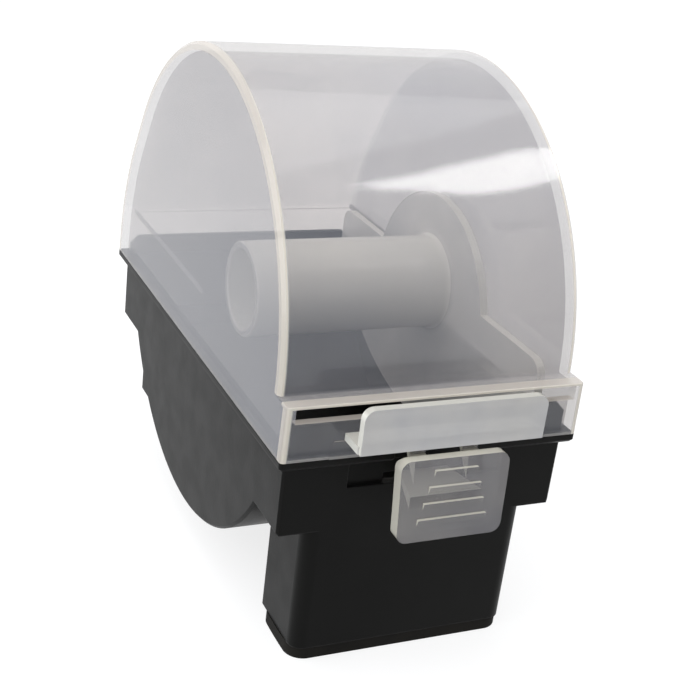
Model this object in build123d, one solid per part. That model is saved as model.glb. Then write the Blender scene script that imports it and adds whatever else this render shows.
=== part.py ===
from build123d import *

import os
from math import asin, cos, radians, sin, sqrt, tan

os.makedirs("parts", exist_ok=True)

# Bench dispenser for one roll of adhesive labels: a moulded tub with a drum-shaped belly and a
# front leg, a translucent arched hood hinged at its back, and a spindle bracket dropped into
# the tub. Everything is modelled about the spindle's axis (along X, +Y to the back, +Z up) and
# is moved at the end, so that the origin is the centre of the foot pad's underside.

# ------------------------------------------------------------------ driving dimensions, mm
hood_width = 73.5            # over the rim
hood_length = 131.0          # front skirt to the rear edge, at the rim
hood_wall = 2.2
hood_draft = 1.0             # degrees that each side wall leans in
hood_corner_radius = 0.9     # upright corners of the skirt and the rim
hood_edge_chamfer = 0.8      # along the arch
ledge_edge_chamfer = 0.2
arch_end_angle = 30.0        # degrees above the spindle where the arch runs into the sloping back
back_bend_radius = 60.0      # from the sloping back to the upright wall above the rim
ledge_depth = 5.4            # skirt to the foot of the arched roof
rim_drop = 12.75             # rim below the spindle's axis
skirt_height = 13.05         # rim to the top of the front ledge
ledge_thickness = 0.6
slot_height = 3.4
slot_end_land = 0.15         # wall left beside each end of the slot
panel_half_width = 25.7      # raised patch on the skirt, under the shelf
panel_top_drop = 8.5         # below the spindle's axis
panel_proud = 0.2
panel_corner_radius = 1.3
back_rib_height = 1.5
back_rib_depth = 0.8
back_rib_drop = 0.0          # rib's middle below the spindle's axis
back_rib_root = 0.2          # how far the rib is sunk in the wall

base_wall = 2.2
base_side_inset = 2.0        # body behind the rim's edge, each side
base_end_inset = 2.4         # and at the front and back
base_edge_chamfer = 0.6
flange_thickness = 2.2
flange_chamfer = 0.8
rim_gap = 0.1                # closed hood above the flange
tub_depth = 19.45            # rim to the underside of the rectangular tub
drum_inset = 7.1             # drum's outside behind the skirt
drum_lug_y = 41.0            # back of the lug across the drum's rear
drum_lug_bottom = 46.0       # below the spindle
coaming_thickness = 1.8
front_coaming_rise = 7.35
rear_coaming_rise = 5.0
rear_coaming_root = 4.0      # how far it runs down inside the back wall
coaming_chamfer = 2.3
coaming_clearance = 0.4      # between a coaming and the hood's inner faces

leg_width = 55.5
leg_depth = 20.1             # front to back
leg_bottom = 63.6            # below the spindle
leg_front_radius = 3.5
leg_rear_radius = 0.8
leg_wall = 2.6

pad_thickness = 3.0
pad_width = 55.4
pad_side_crown = 0.3         # each side of the pad bows out this much
pad_front_inset = 0.2
pad_rear_inset = 0.4
pad_corner_radius = 4.6

recess_width = 38.6          # pocket in the tub's front wall behind the latch
recess_drop = 2.85           # its top edge below the rim
recess_height = 6.2
recess_depth = 1.0
catch_width = 20.4           # window inside the pocket that the hook snaps into
catch_height = 2.3

spindle_radius = 12.1
spindle_wall = 2.0
spindle_free_end = -23.5
spindle_fillet = 2.0
spindle_edge_chamfer = 0.4
plate_thickness = 2.1
plate_clearance = 0.85       # to the tub's side wall
plate_top = 1.5              # above the spindle
plate_end_clearance = 1.4    # to the inside of the arched roof
plate_bottom = 39.0          # below the spindle
plate_belly_radius = 72.6
plate_end_radius = 4.0
ear_radius = 30.0
ear_rise = 23.0              # top of the ear above the spindle
ear_shift = 1.0              # ear's middle behind the spindle
lug_length = 16.0            # hooks that hang the plate on the rim
lug_spacing = 72.0
lug_thickness = 1.5
lug_notch_depth = 0.8
lug_clearance = 0.15

shelf_width = 45.0
shelf_top_drop = 6.7         # below the spindle
shelf_thickness = 1.7
peel_width = 44.4
peel_thickness = 2.0
peel_standoff = 5.6          # skirt to the back of the peel plate
peel_top = 2.1               # above the spindle
peel_corner_radius = 2.5

tab_top_drop = 9.75          # below the spindle
tab_bottom_drop = 28.9
tab_top_width = 26.6
tab_bottom_width = 25.6
tab_corner_radius = 2.5
tab_thickness = 3.1
tab_lip = 2.2                # what is left of that at the upper edge
tab_lip_height = 1.5         # over this much height
tab_top_reach = 9.6          # outer face in front of the skirt, at the top
tab_middle_reach = 10.6
tab_bottom_reach = 11.3
ridge_count = 4
ridge_first_drop = 12.15
ridge_pitch = 3.75
ridge_first_width = 10.4
ridge_growth = 2.1           # each ridge is this much wider than the one above it
ridge_proud = 0.75
ridge_height = 1.7
strap_width = 3.9
strap_middle = 6.5           # each strap's middle from the centre line
strap_thickness = 1.2
strap_length = 2.5
strap_reach = 3.1            # strap in front of the skirt
strap_clearance = 0.04
hook_width = 18.4            # at the plate
hook_tip_width = 12.0
hook_root_height = 3.0
hook_tip_height = 1.0
hook_engagement = 1.5        # tip behind the tub's front face
hook_clearance = 0.3         # below the catch's upper edge
hook_side_clearance = 0.6    # to the gap in the flange that the hook rises through
arm_bottom_drop = 19.0

knuckle_radius = 2.4
knuckle_length = 9.6
knuckle_gap = 0.3
knuckle_count = 5
knuckle_standoff = 0.3       # between the barrel and the hood's back edge
pin_radius = 1.0
pin_clearance = 0.04

bite = 0.5                   # how far a joined form runs into the one beside it
past = 1.0                   # how far a cutter runs past the face that it opens
NEAR = 0.01                  # two places this close count as one

# ------------------------------------------------------------------ derived places
rim = -rim_drop
hood_front = -hood_length / 2
hood_back = hood_length / 2
ledge_top = rim + skirt_height
ledge_under = ledge_top - ledge_thickness
roof_radius = hood_length / 2 - ledge_depth
drum_radius = hood_length / 2 - drum_inset
plate_length = 2 * (roof_radius - hood_wall - plate_end_clearance)
arch_end = radians(arch_end_angle)
back_corner = (roof_radius - hood_back * cos(arch_end)) / sin(arch_end)
bend_y = hood_back - back_bend_radius
bend_z = back_corner - back_bend_radius * tan(arch_end / 2)

body_half = hood_width / 2 - base_side_inset
body_front = hood_front + base_end_inset
body_back = hood_back - base_end_inset
tub_bottom = rim - tub_depth
flange_top = rim - rim_gap
flange_bottom = flange_top - flange_thickness
well_half = body_half - base_wall
coaming_half = hood_width / 2 - hood_wall - coaming_clearance

recess_top = rim - recess_drop
recess_bottom = recess_top - recess_height
catch_top = recess_bottom + catch_height
hook_top = catch_top - hook_clearance

plate_outer = well_half - plate_clearance
plate_inner = plate_outer - plate_thickness
strap_y = hood_front - strap_reach
strap_pivot_z = -shelf_top_drop - shelf_thickness - strap_clearance - strap_thickness / 2

hinge_y = hood_back + knuckle_standoff + knuckle_radius
hinge_z = rim
knuckle_pitch = knuckle_length + knuckle_gap

foot_under = -leg_bottom - pad_thickness
foot_middle = (body_front + pad_front_inset + body_front + leg_depth - pad_rear_inset) / 2
FAR = 3 * hood_length        # reach of a cutting prism


# ------------------------------------------------------------------ small helpers
def face_of(*curves):
    """A flat face inside a closed chain of curves."""
    return make_face(Curve() + list(curves))


def arc_about(centre, radius, start, end):
    """An arc about a point in the plane, between two angles in radians."""
    points = []
    for angle in (start, (start + end) / 2, end):
        points.append((centre[0] + radius * cos(angle), centre[1] + radius * sin(angle)))
    return ThreePointArc(*points)


def across(face, half_width):
    """Extrude a side view (Y, Z) to both sides of the middle plane."""
    return extrude(Plane.YZ * face, amount=half_width, both=True)


def along(face, y_from, y_to):
    """Extrude a front view (X, Z) from one Y to another."""
    plane = Plane(origin=(0, y_from, 0), x_dir=(1, 0, 0), z_dir=(0, -1, 0))
    return extrude(plane * face, amount=y_to - y_from, dir=(0, 1, 0))


def block(x, y, z):
    """A box between two limits on each axis."""
    middle = [(low + high) / 2 for low, high in (x, y, z)]
    return Pos(*middle) * Box(x[1] - x[0], y[1] - y[0], z[1] - z[0])


def rod(radius, x_from, x_to, y=0.0, z=0.0):
    """A round bar along X."""
    middle = Pos((x_from + x_to) / 2, y, z)
    return middle * Rot(0, 90, 0) * Cylinder(radius, x_to - x_from)


# ------------------------------------------------------------------ hood
def hood_outline(inset, bottom, ledge):
    """Side view of the hood: skirt, ledge, arch, sloping back and the bend to its upright foot."""
    radius = roof_radius - inset
    front, back = hood_front + inset, hood_back - inset
    foot_angle = radians(180) - asin(ledge / radius)
    foot = (radius * cos(foot_angle), ledge)
    step = Polyline((back, bend_z), (back, bottom), (front, bottom), (front, ledge), foot)
    arch = arc_about((0, 0), radius, foot_angle, arch_end)
    bend = arc_about((bend_y, bend_z), back_bend_radius - inset, arch_end, 0)
    return face_of(step, arch, Line(arch @ 1, bend @ 0), bend)


def drafted_front(half_width):
    """Front view between the two leaning side walls."""
    low = rim - tub_depth
    high = roof_radius + tub_depth
    lean = tan(radians(hood_draft))
    half_low = half_width - (low - rim) * lean
    half_high = half_width - (high - rim) * lean
    corners = ((-half_low, low), (half_low, low), (half_high, high), (-half_high, high))
    return Polygon(*corners, align=None)


def hood_solid(inset, bottom, ledge):
    """The hood's outer form, or the same form moved in by a wall."""
    side = across(hood_outline(inset, bottom, ledge), hood_width)
    front = along(drafted_front(hood_width / 2 - inset), -FAR / 2, FAR / 2)
    return side & front


def knuckles(first):
    """Every second barrel of the rear hinge, from the first one given."""
    start = -(knuckle_count * knuckle_pitch - knuckle_gap) / 2
    spans = []
    for index in range(first, knuckle_count, 2):
        spans.append((start + index * knuckle_pitch, start + index * knuckle_pitch + knuckle_length))
    return spans


def is_skirt_corner(edge):
    """One of the upright edges between the rim and the ledge."""
    return edge.center().Z < ledge_top and edge.bounding_box().size.Z > skirt_height / 2


def is_arch_edge(edge):
    """Part of a curved edge where the roof or the back meets a side wall."""
    box = edge.bounding_box()
    return box.max.Z > ledge_top + past and box.size.X < hood_wall


def is_ledge_edge(edge):
    """Part of the outer edge of the front ledge."""
    middle = edge.center()
    return abs(middle.Z - ledge_top) < NEAR and middle.Y < hood_front + ledge_depth - past


def hood_blank():
    """The hood's outer form with its edges eased."""
    outer = hood_solid(0, rim, ledge_top)
    corners = outer.edges().filter_by(is_skirt_corner).sort_by(Axis.Y)[:2]
    outer = fillet(corners, hood_corner_radius)
    outer = chamfer(outer.edges().filter_by(is_arch_edge), hood_edge_chamfer)
    return chamfer(outer.edges().filter_by(is_ledge_edge), ledge_edge_chamfer)


def back_rib():
    """Low rib across the inside of the back wall."""
    height = (-back_rib_drop - back_rib_height / 2, -back_rib_drop + back_rib_height / 2)
    rib = block((-hood_width, hood_width), (0, FAR), height)
    rib &= hood_solid(hood_wall - back_rib_root, rim, ledge_under)
    rib -= hood_solid(hood_wall + back_rib_depth, rim - past, ledge_under)
    keep = hood_width / 2 - hood_wall - back_rib_depth
    return rib & block((-keep, keep), (0, FAR), height)


def skirt_panel():
    """Slightly raised patch with rounded upper corners, under the shelf."""
    height = -panel_top_drop - rim
    outline = Pos(0, rim + height / 2) * Rectangle(2 * panel_half_width, height)
    outline = fillet(outline.vertices().sort_by(Axis.Y)[-2:], panel_corner_radius)
    return along(outline, hood_front - panel_proud, hood_front + bite)


def hood_shell():
    shell = hood_blank() - hood_solid(hood_wall, rim - past, ledge_under)
    slot_half = hood_width / 2 - hood_wall - slot_end_land
    slot_y = (hood_front - past, hood_front + hood_wall + past)
    shell -= block((-slot_half, slot_half), slot_y, (ledge_under - slot_height, ledge_under))
    shell += back_rib() + skirt_panel()
    web_y = (hood_back - hood_wall / 2, hinge_y)
    web_z = (rim + knuckle_gap, hinge_z + knuckle_radius)
    for span in knuckles(1):
        shell += block(span, web_y, web_z) + rod(knuckle_radius, *span, hinge_y, hinge_z)
    return shell - rod(pin_radius + pin_clearance, -hood_width, hood_width, hinge_y, hinge_z)


def peel_bar():
    """Shelf on the skirt with an upright plate that the backing strip is pulled over."""
    back = hood_front - peel_standoff
    shelf_top = -shelf_top_drop
    shelf_under = shelf_top - shelf_thickness
    shelf_half = shelf_width / 2
    shelf_y = (back - peel_thickness / 2, hood_front)
    shelf = block((-shelf_half, shelf_half), shelf_y, (shelf_under, shelf_top))
    height = peel_top - shelf_under
    upright = Pos(0, (peel_top + shelf_under) / 2) * Rectangle(peel_width, height)
    upper = upright.vertices().sort_by(Axis.Y)[-2:]
    upright = fillet(upper, peel_corner_radius)
    return shelf + along(upright, back - peel_thickness, back)


# ------------------------------------------------------------------ latch
def tab_reach_arc(behind):
    """Side view of the tab's outer face, or of a face that lies behind it."""
    middle_drop = (tab_top_drop + tab_bottom_drop) / 2
    return ThreePointArc(
        (hood_front - tab_top_reach + behind, -tab_top_drop),
        (hood_front - tab_middle_reach + behind, -middle_drop),
        (hood_front - tab_bottom_reach + behind, -tab_bottom_drop),
    )


def tab_plate():
    """The curved finger plate, cut to its tapered and rounded front outline."""
    outer = tab_reach_arc(0)
    inner = tab_reach_arc(tab_thickness)
    side = face_of(outer, Line(outer @ 1, inner @ 1), inner, Line(inner @ 0, outer @ 0))
    top, bottom = -tab_top_drop, -tab_bottom_drop
    lip = hood_front - tab_top_reach + tab_lip
    slope = tab_lip_height / (tab_thickness - tab_lip)
    rise, drop = past * slope, tab_thickness * slope
    low, high = (lip + tab_thickness, top - drop), (lip + tab_thickness, top + rise)
    side -= Polygon((lip - past, top + rise), low, high, align=None)
    outline = Polygon(
        (-tab_top_width / 2, top),
        (tab_top_width / 2, top),
        (tab_bottom_width / 2, bottom),
        (-tab_bottom_width / 2, bottom),
        align=None,
    )
    outline = fillet(outline.vertices(), tab_corner_radius)
    return across(side, tab_top_width) & along(outline, hood_front - FAR / 2, hood_front)


def grip_ridge(index):
    """One saw tooth across the finger plate, sharp above and running out below."""
    face = tab_reach_arc(0)
    drop = ridge_first_drop + index * ridge_pitch
    half = (ridge_first_width + index * ridge_growth) / 2
    share = (drop - tab_top_drop) / (tab_bottom_drop - tab_top_drop)
    crest = face @ share
    foot = face @ (share + ridge_height / (tab_bottom_drop - tab_top_drop))
    sunk = tab_thickness / 2
    tooth = Polygon(
        (crest.X - ridge_proud, crest.Y),
        (crest.X + sunk, crest.Y),
        (foot.X + sunk, foot.Y),
        (foot.X, foot.Y),
        align=None,
    )
    return across(tooth, half)


def latch_hook():
    """Wedge behind the plate, narrower at its tip, that snaps under the catch in the tub."""
    root = hood_front - tab_middle_reach + tab_thickness / 2
    tip = body_front + hook_engagement
    profile = Polygon(
        (root, hook_top),
        (tip, hook_top),
        (tip, hook_top - hook_tip_height),
        (root, hook_top - hook_root_height),
        align=None,
    )
    plan = Polygon(
        (-hook_width / 2, root),
        (hook_width / 2, root),
        (hook_tip_width / 2, tip),
        (-hook_tip_width / 2, tip),
        align=None,
    )
    return across(profile, hook_width / 2) & extrude(plan, amount=FAR / 2, both=True)


def latch_arm(side):
    """Rib down the plate's back that carries one flexing strap."""
    front = hood_front - tab_top_reach + tab_thickness / 2
    low_front = hood_front - tab_middle_reach + tab_thickness / 2
    back = strap_y + strap_thickness / 2
    profile = Polygon(
        (front, strap_pivot_z - strap_length),
        (back, strap_pivot_z - strap_length),
        (low_front, -arm_bottom_drop),
        align=None,
    )
    return Pos(side * strap_middle, 0, 0) * across(profile, strap_width / 2)


def latch_tab():
    tab = tab_plate() + latch_hook()
    for index in range(ridge_count):
        tab += grip_ridge(index)
    for side in (-1, 1):
        tab += latch_arm(side)
    return tab


def latch_straps():
    """Two short straps with round upper ends, on whose middle the tab swings."""
    straps = []
    for side in (-1, 1):
        span = (side * strap_middle - strap_width / 2, side * strap_middle + strap_width / 2)
        strip = block(
            span,
            (strap_y - strap_thickness / 2, strap_y + strap_thickness / 2),
            (strap_pivot_z - strap_length, strap_pivot_z),
        )
        straps.append(strip + rod(strap_thickness / 2, *span, strap_y, strap_pivot_z))
    return Compound(children=[strap.solid() for strap in straps])


# ------------------------------------------------------------------ base
def tub_outline(inset, top):
    """Side view of the tub with the drum that hangs below it, moved in by a wall."""
    shallow = Pos((body_front + body_back) / 2, (tub_bottom + inset + top) / 2) * Rectangle(
        body_back - body_front - 2 * inset, top - tub_bottom - inset
    )
    below = Pos(0, top - FAR / 2) * Rectangle(FAR, FAR)
    return shallow + (Circle(drum_radius - inset) & below)


def rear_lug():
    """Square corner across the back of the drum."""
    forward = sqrt(drum_radius**2 - drum_lug_bottom**2) - base_wall
    upper = -sqrt(drum_radius**2 - drum_lug_y**2) + base_wall
    profile = Polygon(
        (drum_lug_y, upper),
        (drum_lug_y, -drum_lug_bottom),
        (forward, -drum_lug_bottom),
        (forward, -drum_lug_bottom + base_wall),
        align=None,
    )
    return across(profile, body_half)


def leg():
    """Hollow front leg, open below, that runs up into the tub and the drum."""
    middle = body_front + leg_depth / 2
    plan = Rectangle(leg_width, leg_depth)
    plan = fillet(plan.vertices().sort_by(Axis.Y)[:2], leg_front_radius)
    plan = fillet(plan.vertices().sort_by(Axis.Y)[-2:], leg_rear_radius)
    core = Rectangle(leg_width - 2 * leg_wall, leg_depth - 2 * leg_wall)
    core = fillet(core.vertices(), leg_wall)
    height = leg_bottom + tub_bottom + base_wall
    post = Pos(0, middle, -leg_bottom) * extrude(plan, amount=height)
    hollow = Pos(0, middle, -leg_bottom) * extrude(core, amount=height)
    return post - (hollow - across(tub_outline(0, rim), body_half))


def rim_flange():
    """Shelf round the tub's mouth that the hood's lower edge closes on."""
    plan = Rectangle(hood_width, hood_length)
    plan = fillet(plan.vertices(), hood_corner_radius)
    ring = Pos(0, 0, flange_bottom) * extrude(plan, amount=flange_thickness)
    lower = ring.faces().sort_by(Axis.Z)[0].edges()
    return chamfer(lower, flange_chamfer)


def coaming(y, rise, root):
    """Upright wall inside the hood, with its upper corners cut off."""
    low, high = flange_top - root, rim + rise
    outline = Pos(0, (low + high) / 2) * Rectangle(2 * coaming_half, high - low)
    upper = outline.vertices().sort_by(Axis.Y)[-2:]
    return along(chamfer(upper, coaming_chamfer), *y)


def lug_spans(clearance):
    """Where along the rim the bracket's hooks hang."""
    spans = []
    for side in (-1, 1):
        middle = side * lug_spacing / 2
        spans.append((middle - lug_length / 2 - clearance, middle + lug_length / 2 + clearance))
    return spans


def is_tub_side_edge(edge):
    """An edge of a side face, below the flange."""
    middle = edge.center()
    return abs(middle.X) > body_half - NEAR and middle.Z < flange_bottom - past


def coamings():
    """The walls round the tub's mouth at the front and the back, inside the hood."""
    front_face = hood_front + hood_wall + coaming_clearance
    front = coaming((front_face, front_face + coaming_thickness), front_coaming_rise, bite)
    rear_face = hood_back - hood_wall - coaming_clearance
    rear = coaming((rear_face - coaming_thickness, rear_face), rear_coaming_rise, rear_coaming_root)
    inside = block((-well_half, well_half), (0, FAR), (-FAR, flange_top))
    above = block((-FAR, FAR), (0, FAR), (flange_top - bite, FAR))
    return front, rear & (inside + above)


def base_tub():
    tub = across(tub_outline(0, flange_bottom + bite), body_half)
    tub = chamfer(tub.edges().filter_by(is_tub_side_edge), base_edge_chamfer)
    tub += leg() + rear_lug() + rim_flange()
    front_coaming, rear_coaming = coamings()
    tub += front_coaming
    tub -= across(tub_outline(base_wall, rim + front_coaming_rise + past), well_half)
    tub += rear_coaming
    pocket_y = (body_front - past, body_front + recess_depth)
    tub -= block((-recess_width / 2, recess_width / 2), pocket_y, (recess_bottom, recess_top))
    catch_y = (body_front, body_front + base_wall + past)
    tub -= block((-catch_width / 2, catch_width / 2), catch_y, (recess_bottom, catch_top))
    gap_half = hook_width / 2 + hook_side_clearance
    gap_z = (flange_bottom - past, flange_top + past)
    tub -= block((-gap_half, gap_half), (hood_front - past, body_front), gap_z)
    notch_x = (well_half - past, hood_width / 2 - hood_wall)
    for span in lug_spans(lug_clearance):
        tub -= block(notch_x, span, (flange_top - lug_notch_depth, flange_top + past))
    web_y = (hood_back - past, hinge_y)
    web_z = (hinge_z - knuckle_radius, flange_top - knuckle_gap)
    for span in knuckles(0):
        tub += block(span, web_y, web_z) + rod(knuckle_radius, *span, hinge_y, hinge_z)
    return tub - rod(pin_radius + pin_clearance, -hood_width, hood_width, hinge_y, hinge_z)


def foot_pad():
    """Thick soft strip under the leg, with gently bowed sides."""
    front = body_front + pad_front_inset
    back = body_front + leg_depth - pad_rear_inset
    half = pad_width / 2
    middle = (front + back) / 2
    outline = face_of(
        Line((-half, front), (half, front)),
        ThreePointArc((half, front), (half + pad_side_crown, middle), (half, back)),
        Line((half, back), (-half, back)),
        ThreePointArc((-half, back), (-half - pad_side_crown, middle), (-half, front)),
    )
    outline = fillet(outline.vertices(), pad_corner_radius)
    return Pos(0, 0, foot_under) * extrude(outline, amount=pad_thickness)


# ------------------------------------------------------------------ spindle and hinge pin
def bracket_outline():
    """Side view of the plate: straight top, round ends, boat-shaped belly and a central ear."""
    belly = Pos(0, plate_belly_radius - plate_bottom) * Circle(plate_belly_radius)
    height = plate_top + plate_bottom
    band = Pos(0, plate_top - height / 2) * Rectangle(plate_length, height)
    band = fillet(band.vertices().sort_by(Axis.Y)[-2:], plate_end_radius)
    ear = Pos(ear_shift, ear_rise - ear_radius) * Circle(ear_radius)
    return (band & belly) + ear


def spindle_bracket():
    side_plane = Plane(origin=(plate_inner, 0, 0), x_dir=(0, 1, 0), z_dir=(1, 0, 0))
    plate = extrude(side_plane * bracket_outline(), amount=plate_thickness)
    bracket = plate + rod(spindle_radius, spindle_free_end, plate_inner)
    joint = bracket.edges().filter_by(GeomType.CIRCLE)
    joint = joint.filter_by(lambda edge: abs(edge.radius - spindle_radius) < NEAR)
    bracket = fillet(joint.sort_by(Axis.X)[-1], spindle_fillet)
    bracket -= rod(spindle_radius - spindle_wall, spindle_free_end - past, plate_inner)
    mouth = bracket.faces().sort_by(Axis.X)[0].edges()
    bracket = chamfer(mouth, spindle_edge_chamfer)
    lug_bottom = flange_top - lug_notch_depth + rim_gap
    lug_reach = hood_width / 2 - hood_wall - 2 * lug_clearance
    lug_x, lug_z = (plate_outer - bite, lug_reach), (lug_bottom, lug_bottom + lug_thickness)
    for span in lug_spans(0):
        bracket += block(lug_x, span, lug_z)
    return bracket


def hinge_pin():
    half = (knuckle_count * knuckle_pitch - knuckle_gap) / 2
    return rod(pin_radius, -half, half, hinge_y, hinge_z)


# ------------------------------------------------------------------ write every piece
PIECES = {
    "base_tub": base_tub,
    "foot_pad": foot_pad,
    "spindle_bracket": spindle_bracket,
    "hood_shell": hood_shell,
    "peel_bar": peel_bar,
    "latch_tab": latch_tab,
    "latch_straps": latch_straps,
    "hinge_pin": hinge_pin,
}

to_foot = Pos(0, -foot_middle, -foot_under)
for name, make in PIECES.items():
    export_step(to_foot * make(), f"parts/{name}.step")

hood_axis = (0, hinge_y - foot_middle, hinge_z - foot_under)
latch_axis = (0, strap_y - foot_middle, strap_pivot_z - foot_under)
print("spindle axis", (0, -foot_middle, -foot_under))
print("hood hinge", hood_axis)
print("latch hinge", latch_axis)
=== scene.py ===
from math import cos, pi, radians, sin, tan

import bpy
from mathutils import Euler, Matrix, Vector


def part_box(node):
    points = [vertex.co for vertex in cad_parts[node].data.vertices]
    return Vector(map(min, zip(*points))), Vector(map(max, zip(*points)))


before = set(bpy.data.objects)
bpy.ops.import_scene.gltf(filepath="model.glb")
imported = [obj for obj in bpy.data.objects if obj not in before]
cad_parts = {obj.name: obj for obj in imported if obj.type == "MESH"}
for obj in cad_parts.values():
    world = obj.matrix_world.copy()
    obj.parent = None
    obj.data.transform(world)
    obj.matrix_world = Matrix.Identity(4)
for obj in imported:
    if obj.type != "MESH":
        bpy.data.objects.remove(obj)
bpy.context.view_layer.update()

# A bench dispenser for one roll of labels. All lengths are in metres, in the row frame: +X to the
# right along the spindle, +Y to the back, +Z up, origin under the foot pad. Every piece is the
# CAD solid itself; this script gives it its material, and sets up floor, light and camera.

# ------------------------------------------------------------------ the hood's outline
# The lengths that the CAD solid was built with; its place is read from the frame.
hood_low, hood_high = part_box("hood_shell")
ROOF_RADIUS = 0.0601
HOOD_REACH = 0.0655          # spindle to the skirt's front, and to the back
PANEL_PROUD = 0.0002         # the raised patch on the skirt
HOOD_WALL = 0.0022
HOOD_LEAN = tan(radians(1.0))   # of the side walls, toward the middle
RIM_DROP = 0.01275           # spindle down to the tub's rim
LEDGE_RISE = 0.0003          # spindle up to the ledge's top
LEDGE_THICKNESS = 0.0006
BACK_SLOPE = radians(30.0)
BEND_RADIUS = 0.06
HALF_WIDTH = hood_high.x
SPINDLE_Z = hood_high.z - ROOF_RADIUS
SPINDLE_Y = hood_low.y + HOOD_REACH + PANEL_PROUD
SPINDLE = Vector((0, SPINDLE_Y, SPINDLE_Z))
RIM_Z = SPINDLE_Z - RIM_DROP
# The bend's middle and its upper end, from the spindle's axis.
BEND_Y = HOOD_REACH - BEND_RADIUS
SLOPE_FOOT = (ROOF_RADIUS - HOOD_REACH * cos(BACK_SLOPE)) / sin(BACK_SLOPE)
BEND_Z = SLOPE_FOOT - BEND_RADIUS * tan(BACK_SLOPE / 2)
BEND_TOP = BEND_Z + BEND_RADIUS * sin(BACK_SLOPE)


# ------------------------------------------------------------------ shader building blocks
def add(tree, kind, **settings):
    """A new node with its settings."""
    made = tree.nodes.new(kind)
    for key, value in settings.items():
        setattr(made, key, value)
    return made


def put(tree, socket, value):
    """Link a socket to a socket, or set a plain value on it."""
    if isinstance(value, bpy.types.NodeSocket):
        tree.links.new(value, socket)
    else:
        socket.default_value = value


def calc(tree, operation, *values, clamp=False):
    """One Math node on sockets or plain numbers."""
    step = add(tree, "ShaderNodeMath", operation=operation, use_clamp=clamp)
    for place, value in enumerate(values):
        put(tree, step.inputs[place], value)
    return step.outputs[0]


def plus(tree, first, second):
    return calc(tree, "ADD", first, second)


def minus(tree, first, second):
    return calc(tree, "SUBTRACT", first, second)


def times(tree, first, second):
    return calc(tree, "MULTIPLY", first, second)


def either(tree, first, *others):
    """The largest of several masks."""
    for other in others:
        first = calc(tree, "MAXIMUM", first, other)
    return first


def opposite(tree, value):
    """A value with its sign turned."""
    return times(tree, value, -1)


def except_in(tree, mask):
    """1 where a mask is 0, and 0 where it is 1."""
    return minus(tree, 1, mask)


def above(tree, value, edge, soft=0.00015):
    """1 where value is over edge and 0 under it, with a soft step between."""
    scaled = calc(tree, "DIVIDE", minus(tree, value, edge), soft)
    return calc(tree, "ADD", scaled, 0.5, clamp=True)


def flat_length(tree, first, second):
    """Length of a vector with two components."""
    squares = plus(tree, calc(tree, "POWER", first, 2), calc(tree, "POWER", second, 2))
    return calc(tree, "SQRT", squares)


def parts(tree, vector):
    """A vector's X, Y and Z."""
    split = add(tree, "ShaderNodeSeparateXYZ")
    put(tree, split.inputs["Vector"], vector)
    return split.outputs


def mixed(tree, share, first, second):
    """Blend two colours."""
    blend = add(tree, "ShaderNodeMix", data_type="RGBA")
    put(tree, blend.inputs["Factor"], share)
    put(tree, blend.inputs["A"], first)
    put(tree, blend.inputs["B"], second)
    return blend.outputs["Result"]


def noise(tree, coords, scale, detail=3.0, stretch=None):
    """Smooth noise in the piece's own coordinates, scale in features per metre."""
    if stretch:
        mapping = add(tree, "ShaderNodeMapping")
        put(tree, mapping.inputs["Vector"], coords)
        mapping.inputs["Scale"].default_value = stretch
        coords = mapping.outputs["Vector"]
    texture = add(tree, "ShaderNodeTexNoise")
    put(tree, texture.inputs["Vector"], coords)
    texture.inputs["Scale"].default_value = scale
    texture.inputs["Detail"].default_value = detail
    texture.inputs["Roughness"].default_value = 0.5
    return texture.outputs["Fac"]


def ramp(tree, value, low, high, start=0.35, end=0.65):
    """Map a value from start..end to low..high. The defaults suit noise."""
    step = add(tree, "ShaderNodeMapRange")
    put(tree, step.inputs["Value"], value)
    step.inputs["From Min"].default_value = start
    step.inputs["From Max"].default_value = end
    step.inputs["To Min"].default_value = low
    step.inputs["To Max"].default_value = high
    return step.outputs["Result"]


def clouded(tree, coords, dark, light, scale, detail=3.0):
    """Two near colours in soft clouds."""
    cloud = noise(tree, coords, scale, detail)
    return mixed(tree, ramp(tree, cloud, low=0, high=1), dark, light)


def bumped(tree, height, distance, strength, normal=None):
    """A normal with small relief."""
    bump = add(tree, "ShaderNodeBump")
    put(tree, bump.inputs["Height"], height)
    bump.inputs["Distance"].default_value = distance
    bump.inputs["Strength"].default_value = strength
    if normal:
        put(tree, bump.inputs["Normal"], normal)
    return bump.outputs["Normal"]


def new_material(name):
    """An empty node material with its output node."""
    material = bpy.data.materials.new(name)
    material.use_nodes = True
    tree = material.node_tree
    tree.nodes.clear()
    output = add(tree, "ShaderNodeOutputMaterial")
    return material, tree, output


def rgb(red, green, blue):
    """A colour as an sRGB picture shows it, 0 to 255, in the renderer's linear numbers."""
    linear = []
    for value in (red, green, blue):
        share = value / 255
        linear.append(share / 12.92 if share <= 0.04045 else ((share + 0.055) / 1.055) ** 2.4)
    return (*linear, 1.0)


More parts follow.
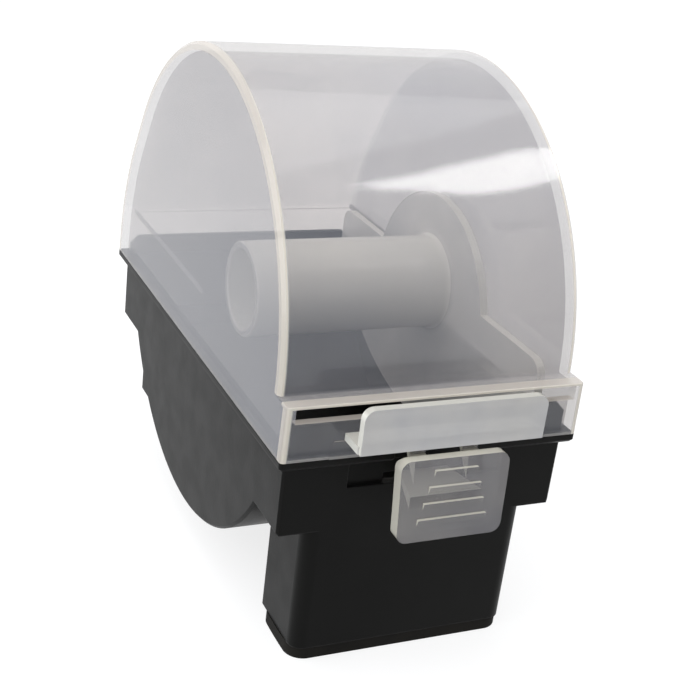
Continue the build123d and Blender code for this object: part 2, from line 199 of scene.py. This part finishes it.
# ------------------------------------------------------------------ opaque materials
def black_plastic():
    """Moulded black with a fine spark-eroded grain, soft edges and faint dust."""
    material, tree, output = new_material("tub_plastic")
    coords = add(tree, "ShaderNodeTexCoord").outputs["Object"]
    surface = add(tree, "ShaderNodeBsdfPrincipled")
    tone = clouded(tree, coords, dark=rgb(9, 9, 8), light=rgb(13, 13, 12), scale=60, detail=4)
    put(tree, surface.inputs["Base Color"], tone)
    roughness = ramp(tree, noise(tree, coords, scale=150), low=0.39, high=0.44)
    put(tree, surface.inputs["Roughness"], roughness)
    surface.inputs["Specular IOR Level"].default_value = 0.1
    surface.inputs["Sheen Weight"].default_value = 0.05
    surface.inputs["Sheen Roughness"].default_value = 0.4
    edge = add(tree, "ShaderNodeBevel", samples=4)
    edge.inputs["Radius"].default_value = 0.0005
    grain = noise(tree, coords, scale=2600, detail=2)
    relief = bumped(tree, grain, distance=0.00005, strength=0.5, normal=edge.outputs["Normal"])
    put(tree, surface.inputs["Normal"], relief)
    put(tree, output.inputs["Surface"], surface.outputs["BSDF"])
    return material


def foam_pad():
    """Brown-grey soft foam rubber with fine pores."""
    material, tree, output = new_material("pad_foam")
    coords = add(tree, "ShaderNodeTexCoord").outputs["Object"]
    surface = add(tree, "ShaderNodeBsdfPrincipled")
    tone = clouded(tree, coords, dark=rgb(22, 21, 19), light=rgb(30, 28, 25), scale=180, detail=5)
    put(tree, surface.inputs["Base Color"], tone)
    surface.inputs["Roughness"].default_value = 0.85
    surface.inputs["Specular IOR Level"].default_value = 0.2
    pores = noise(tree, coords, scale=3200, detail=3)
    put(tree, surface.inputs["Normal"], bumped(tree, pores, distance=0.0001, strength=0.6))
    put(tree, output.inputs["Surface"], surface.outputs["BSDF"])
    return material


def pin_steel():
    """Drawn wire with faint lines along it."""
    material, tree, output = new_material("pin_steel")
    coords = add(tree, "ShaderNodeTexCoord").outputs["Object"]
    surface = add(tree, "ShaderNodeBsdfPrincipled")
    surface.inputs["Metallic"].default_value = 1.0
    lines = noise(tree, coords, scale=900, stretch=(0.05, 1, 1))
    tone = mixed(tree, lines, rgb(150, 150, 148), rgb(190, 190, 186))
    put(tree, surface.inputs["Base Color"], tone)
    put(tree, surface.inputs["Roughness"], ramp(tree, lines, low=0.22, high=0.38))
    put(tree, output.inputs["Surface"], surface.outputs["BSDF"])
    return material


# ------------------------------------------------------------------ see-through plastic
FACE_ON = 0.035              # the share that plastic mirrors when seen straight on
GRAZING_POWER = 5            # how fast that share grows toward a grazing look


def see_through(tree, output, colour, solid, roughness, normal, clear_tint):
    """Milky plastic: a solid share that scatters light, a clear share, and a gloss over both."""
    milk = add(tree, "ShaderNodeBsdfPrincipled")
    put(tree, milk.inputs["Base Color"], colour)
    put(tree, milk.inputs["Roughness"], roughness)
    put(tree, milk.inputs["Normal"], normal)
    clear = add(tree, "ShaderNodeBsdfTransparent")
    clear.inputs["Color"].default_value = clear_tint
    body = add(tree, "ShaderNodeMixShader")
    put(tree, body.inputs["Fac"], solid)
    put(tree, body.inputs[1], clear.outputs["BSDF"])
    put(tree, body.inputs[2], milk.outputs["BSDF"])
    gloss = add(tree, "ShaderNodeBsdfGlossy")
    put(tree, gloss.inputs["Roughness"], roughness)
    put(tree, gloss.inputs["Normal"], normal)
    slant = add(tree, "ShaderNodeLayerWeight")
    slant.inputs["Blend"].default_value = 0.5
    put(tree, slant.inputs["Normal"], normal)
    grazing = calc(tree, "POWER", slant.outputs["Facing"], GRAZING_POWER)
    fresnel = plus(tree, times(tree, grazing, 1 - FACE_ON), FACE_ON)
    skin = add(tree, "ShaderNodeMixShader")
    put(tree, skin.inputs["Fac"], times(tree, fresnel, except_in(tree, solid)))
    put(tree, skin.inputs[1], body.outputs["Shader"])
    put(tree, skin.inputs[2], gloss.outputs["BSDF"])
    put(tree, output.inputs["Surface"], skin.outputs["Shader"])


def seen_outside(tree):
    """1 on faces seen from outside the piece, 0 on the same faces seen from within it."""
    side = add(tree, "ShaderNodeNewGeometry").outputs["Backfacing"]
    return except_in(tree, side)


def outside(tree, depth, rise, inset, soft):
    """1 beyond the hood's outline, drawn in by inset: arch, sloping back and the bend under it."""
    across = times(tree, depth, cos(BACK_SLOPE))
    slope = plus(tree, across, times(tree, rise, sin(BACK_SLOPE)))
    slope = above(tree, slope, ROOF_RADIUS - inset, soft)
    bend = flat_length(tree, minus(tree, depth, BEND_Y), minus(tree, rise, BEND_Z))
    bend = above(tree, bend, BEND_RADIUS - inset, soft)
    bend = times(tree, bend, above(tree, depth, 0))
    upper = above(tree, rise, BEND_TOP)
    back = either(tree, times(tree, bend, except_in(tree, upper)), times(tree, slope, upper))
    down = times(tree, depth, sin(BACK_SLOPE))
    down = minus(tree, down, times(tree, rise, cos(BACK_SLOPE)))
    behind = times(tree, above(tree, down, 0), above(tree, depth, 0))
    arch = above(tree, flat_length(tree, depth, rise), ROOF_RADIUS - inset, soft)
    arch = times(tree, arch, except_in(tree, behind))
    return either(tree, arch, times(tree, back, behind))


CORNER_SOFT = 0.0005         # how softly the solid look of a corner ends
CORNER_WRAP = 0.0008         # it is that much narrower on faces other than the side walls
RIM_LIP = 0.0003             # the hood's underside, up to this over the rim
RIM_BAND = 0.0008            # the lowest part of the walls, which looks half as solid
RIM_SOLID = 0.5
LEDGE_FRONT = 0.0622         # from this far before the spindle the ledge looks solid,
LEDGE_UNDER = 0.0001         # from this far under its thickness
LEDGE_OVER = 0.0002          # to this far over it
EDGE_SOFT = 0.0004
SQUARE = 0.9                 # a face whose normal lies this much along an axis is square to it
LEVEL_SOFT = 0.1             # how softly level faces end where the surface turns away
SIDE_SOFT = 0.05             # the same for the side walls


def hood_section(tree, x, z, depth, rise, side, normal):
    """1 where another wall meets the face from behind, and on lips and edges: it looks solid."""
    lean = times(tree, minus(tree, z, RIM_Z), HOOD_LEAN)
    inside = minus(tree, calc(tree, "ABSOLUTE", x), HALF_WIDTH - HOOD_WALL)
    wrap = times(tree, minus(tree, side, 1), CORNER_WRAP)
    side_wall = above(tree, plus(tree, plus(tree, inside, lean), wrap), 0, CORNER_SOFT)
    forward = opposite(tree, depth)
    low = above(tree, opposite(tree, rise), -LEDGE_RISE)
    front_low = times(tree, low, except_in(tree, above(tree, depth, 0)))
    roof = outside(tree, depth, rise, HOOD_WALL, CORNER_SOFT)
    roof = times(tree, roof, except_in(tree, front_low))
    skirt = above(tree, forward, HOOD_REACH - HOOD_WALL)
    corner = times(tree, side_wall, either(tree, roof, skirt))
    facing_up = parts(tree, normal)["Z"]
    down = opposite(tree, z)
    under = above(tree, opposite(tree, facing_up), SQUARE, LEVEL_SOFT)
    rim = times(tree, under, above(tree, down, -RIM_Z - RIM_LIP))
    bottom = times(tree, above(tree, down, -RIM_Z - RIM_BAND, EDGE_SOFT), RIM_SOLID)
    band = above(tree, rise, LEDGE_RISE - LEDGE_THICKNESS - LEDGE_UNDER)
    band = times(tree, band, except_in(tree, above(tree, rise, LEDGE_RISE + LEDGE_OVER)))
    ledge = times(tree, above(tree, forward, LEDGE_FRONT, EDGE_SOFT), band)
    lip = above(tree, facing_up, SQUARE, LEVEL_SOFT)
    front = times(tree, above(tree, forward, ROOF_RADIUS - HOOD_WALL), low)
    total = either(tree, corner, rim, bottom, ledge, times(tree, lip, front))
    return times(tree, total, seen_outside(tree))


def side_face(tree, normal):
    """1 on the two upright side walls."""
    facing_side = calc(tree, "ABSOLUTE", parts(tree, normal)["X"])
    return above(tree, facing_side, SQUARE, SIDE_SOFT)


HAZE = (0.19, 0.23)          # the solid share of a wall seen flat, from cloud to cloud
SKIRT_CLEARER = 0.05         # the skirt is that much clearer
SIDE_HAZE = 0.17             # the two upright walls are that much milkier than the roof
SECTION_SOLID = 0.72         # the solid share of corners, lips and edges
SECTION_FRONT = 0.18         # and that much more on faces to the front, which also get a lighter cream: painted highlight


def clear_hood():
    """Natural polypropylene: thin walls hazy and clear, edge-on sections cream, nearly solid;
    sections facing the front painted lighter as painted highlight, side walls painted shade.
    """
    material, tree, output = new_material("clear_hood")
    source = add(tree, "ShaderNodeTexCoord")
    coords = source.outputs["Object"]
    normal = source.outputs["Normal"]
    x, y, z = parts(tree, coords)
    depth = minus(tree, y, SPINDLE_Y)
    rise = minus(tree, z, SPINDLE_Z)
    side = side_face(tree, normal)
    section = hood_section(tree, x, z, depth, rise, side, normal)
    facing_front = opposite(tree, parts(tree, normal)["Y"])
    front = ramp(tree, facing_front, low=0, high=1, start=0.4, end=0.95)
    skirt = times(tree, front, above(tree, opposite(tree, rise), -LEDGE_RISE))
    haze = ramp(tree, noise(tree, coords, scale=38, detail=4), *HAZE)
    haze = minus(tree, haze, times(tree, skirt, SKIRT_CLEARER))
    haze = plus(tree, haze, times(tree, side, SIDE_HAZE))
    edge_on = plus(tree, times(tree, front, SECTION_FRONT), SECTION_SOLID)
    solid = either(tree, haze, times(tree, section, edge_on))
    sheet = clouded(tree, coords, dark=rgb(169, 175, 188), light=rgb(178, 180, 188), scale=14)
    # The upright side walls get a darker grey than the roof: painted shade.
    sheet = mixed(tree, side, sheet, rgb(160, 162, 170))
    # Sections facing the front get a lighter cream than the rest: a painted highlight.
    cream = mixed(tree, front, rgb(206, 198, 188), rgb(250, 243, 228))
    colour = mixed(tree, section, sheet, cream)
    waves = bumped(tree, noise(tree, coords, scale=22, detail=2), distance=0.0008, strength=0.25)
    tint = (0.985, 0.968, 0.955, 1)
    see_through(tree, output, colour, solid, roughness=0.09, normal=waves, clear_tint=tint)
    return material


PLATE_FLAT = 0.8             # a face this square to a plate's axis is its flat side
PLATE_SOFT = 0.2
HAZE_SPREAD = 0.03           # the solid share varies by this much either way
TOP_FACE = 0.6               # a normal's Z over this counts as a top edge, painted darker as painted shade
TOP_SOFT = 0.3


def side_section(tree, normal, axis):
    """1 on faces that aren't square to one axis: the edges of a thin plate."""
    flat = calc(tree, "ABSOLUTE", parts(tree, normal)[axis])
    edge = except_in(tree, above(tree, flat, PLATE_FLAT, PLATE_SOFT))
    return times(tree, edge, seen_outside(tree))


def milky(name, plate_axis, haze, sheet, edge, edge_solid, roughness, top_shade=None):
    """The same plastic on a thicker or thinner plate. sheet holds the two colours of its flat
    sides, edge the colour where it ends, and top a darker one for up-facing edges: painted shade."""
    material, tree, output = new_material(name)
    source = add(tree, "ShaderNodeTexCoord")
    coords = source.outputs["Object"]
    section = side_section(tree, source.outputs["Normal"], plate_axis)
    cloud = noise(tree, coords, scale=90, detail=4)
    flat = ramp(tree, cloud, low=haze - HAZE_SPREAD, high=haze + HAZE_SPREAD)
    solid = either(tree, flat, times(tree, section, edge_solid))
    if top_shade:
        facing_up = parts(tree, source.outputs["Normal"])["Z"]
        # Edges that face up take the darker colour: painted shade.
        edge = mixed(tree, above(tree, facing_up, TOP_FACE, TOP_SOFT), edge, top_shade)
    colour = mixed(tree, section, clouded(tree, coords, *sheet, scale=45), edge)
    waves = bumped(tree, noise(tree, coords, scale=60, detail=3), distance=0.0005, strength=0.25)
    tint = (0.98, 0.98, 0.975, 1)
    see_through(tree, output, colour, solid, roughness, normal=waves, clear_tint=tint)
    return material


SHARP_FROM = radians(32)     # edges at least this sharp stay sharp


def dress(node, material):
    """Give a CAD node its material and smooth its round faces."""
    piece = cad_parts[node]
    piece.data.materials.clear()
    piece.data.materials.append(material)
    for polygon in piece.data.polygons:
        polygon.use_smooth = True
    piece.data.set_sharp_from_angle(angle=SHARP_FROM)


# ------------------------------------------------------------------ stage, light and camera
FLOOR_HALF = 3.0             # from its middle to each side
FLOOR_PAINT = 0.3
FLOOR_GLOW = 0.78            # with the paint's share under the lamps, white away from the part


def seen_by_eye(tree):
    """1 for rays that a camera, a mirror or clear plastic sends out, 0 for light."""
    path = add(tree, "ShaderNodeLightPath")
    kinds = ("Is Camera Ray", "Is Glossy Ray", "Is Transmission Ray")
    return either(tree, *(path.outputs[kind] for kind in kinds))


def floor():
    """Plain pale floor that goes to white away from the part's shadow."""
    material, tree, output = new_material("floor_white")
    paint = add(tree, "ShaderNodeBsdfDiffuse")
    paint.inputs["Color"].default_value = (FLOOR_PAINT, FLOOR_PAINT, FLOOR_PAINT, 1)
    glow = add(tree, "ShaderNodeEmission")
    glow.inputs["Color"].default_value = (1, 1, 1, 1)
    put(tree, glow.inputs["Strength"], times(tree, seen_by_eye(tree), FLOOR_GLOW))
    both = add(tree, "ShaderNodeAddShader")
    put(tree, both.inputs[0], paint.outputs["BSDF"])
    put(tree, both.inputs[1], glow.outputs["Emission"])
    put(tree, output.inputs["Surface"], both.outputs["Shader"])
    mesh = bpy.data.meshes.new("floor")
    quarters = ((-1, -1), (1, -1), (1, 1), (-1, 1))
    corners = [(x * FLOOR_HALF, y * FLOOR_HALF, 0) for x, y in quarters]
    mesh.from_pydata(corners, [], [(0, 1, 2, 3)])
    mesh.materials.append(material)
    plane = bpy.data.objects.new("floor", mesh)
    bpy.context.scene.collection.objects.link(plane)


def surroundings(dim, bright, toward):
    """White to the eye; as light, a room that is brighter on one side and slightly blue."""
    world = bpy.data.worlds.new("studio")
    bpy.context.scene.world = world
    world.use_nodes = True
    tree = world.node_tree
    tree.nodes.clear()
    output = add(tree, "ShaderNodeOutputWorld")
    background = add(tree, "ShaderNodeBackground")
    heading = add(tree, "ShaderNodeTexCoord").outputs["Generated"]
    along = add(tree, "ShaderNodeVectorMath", operation="DOT_PRODUCT")
    put(tree, along.inputs[0], heading)
    along.inputs[1].default_value = Vector(toward).normalized()
    side = ramp(tree, along.outputs["Value"], low=0, high=1, start=-0.3, end=0.9)
    dim_colour = (dim, dim, dim * 1.02, 1)
    bright_colour = (bright * 0.98, bright, bright * 1.03, 1)
    room = mixed(tree, side, dim_colour, bright_colour)
    put(tree, background.inputs["Color"], mixed(tree, seen_by_eye(tree), room, (1, 1, 1, 1)))
    put(tree, output.inputs["Surface"], background.outputs["Background"])


def lamp(name, azimuth, elevation, reach, size, radiance, colour=(1, 1, 1)):
    """A soft panel at a compass direction from the spindle, turned to face it."""
    width, height = size
    light = bpy.data.lights.new(name, "AREA")
    light.shape = "RECTANGLE"
    light.size = width
    light.size_y = height
    light.energy = radiance * width * height * pi
    light.color = colour
    panel = bpy.data.objects.new(name, light)
    turn, tilt = radians(azimuth), radians(elevation)
    heading = Vector((sin(turn) * cos(tilt), cos(turn) * cos(tilt), sin(tilt)))
    panel.location = SPINDLE + heading * reach
    panel.rotation_euler = heading.to_track_quat("Z", "Y").to_euler()
    bpy.context.scene.collection.objects.link(panel)


CAMERA_FROM_SPINDLE = Vector((-0.13709, -0.29114, 0.12144))
CAMERA_TURN = (66.5196, -6.7031, -23.7268)   # degrees about X, Y and Z


def camera():
    """The camera at the reference angle."""
    lens = bpy.data.cameras.new("camera")
    lens.sensor_width = 36.0
    lens.lens = 68.79
    lens.clip_start = 0.01
    view = bpy.data.objects.new("camera", lens)
    view.location = SPINDLE + CAMERA_FROM_SPINDLE
    view.rotation_euler = Euler([radians(angle) for angle in CAMERA_TURN], "XYZ")
    bpy.context.scene.collection.objects.link(view)
    bpy.context.scene.camera = view


dress("base_tub", black_plastic())
dress("foot_pad", foam_pad())
dress("hinge_pin", pin_steel())
dress("hood_shell", clear_hood())
dress("spindle_bracket", milky(
    "clear_bracket", "X", haze=0.55, sheet=(rgb(243, 242, 240), rgb(250, 248, 243)),
    edge=rgb(248, 246, 238), edge_solid=0.92, roughness=0.25))
# The peel bar's edges that face up are painted darker than its other edges: painted shade.
dress("peel_bar", milky(
    "clear_bar", "Y", haze=0.68, sheet=(rgb(232, 232, 234), rgb(240, 238, 234)),
    edge=rgb(241, 240, 231), edge_solid=0.88, roughness=0.14, top_shade=rgb(203, 201, 192)))
latch_look = milky(
    "clear_latch", "Y", haze=0.30, sheet=(rgb(180, 178, 184), rgb(198, 194, 192)),
    edge=rgb(230, 226, 212), edge_solid=0.75, roughness=0.16)
dress("latch_tab", latch_look)
dress("latch_straps", latch_look)

floor()
surroundings(dim=0.24, bright=1.45, toward=(-0.82, 0.3, 0.5))
lamp("overhead", 20, 80, reach=1.2, size=(1.1, 1.1), radiance=1.0)
lamp("left_panel", -95, 22, reach=1.1, size=(0.9, 0.8), radiance=1.4, colour=(0.96, 0.98, 1.0))
lamp("roof_glint", 116, 55, reach=0.9, size=(0.30, 0.13), radiance=9.0)
camera()

bpy.context.scene.view_settings.view_transform = "Standard"
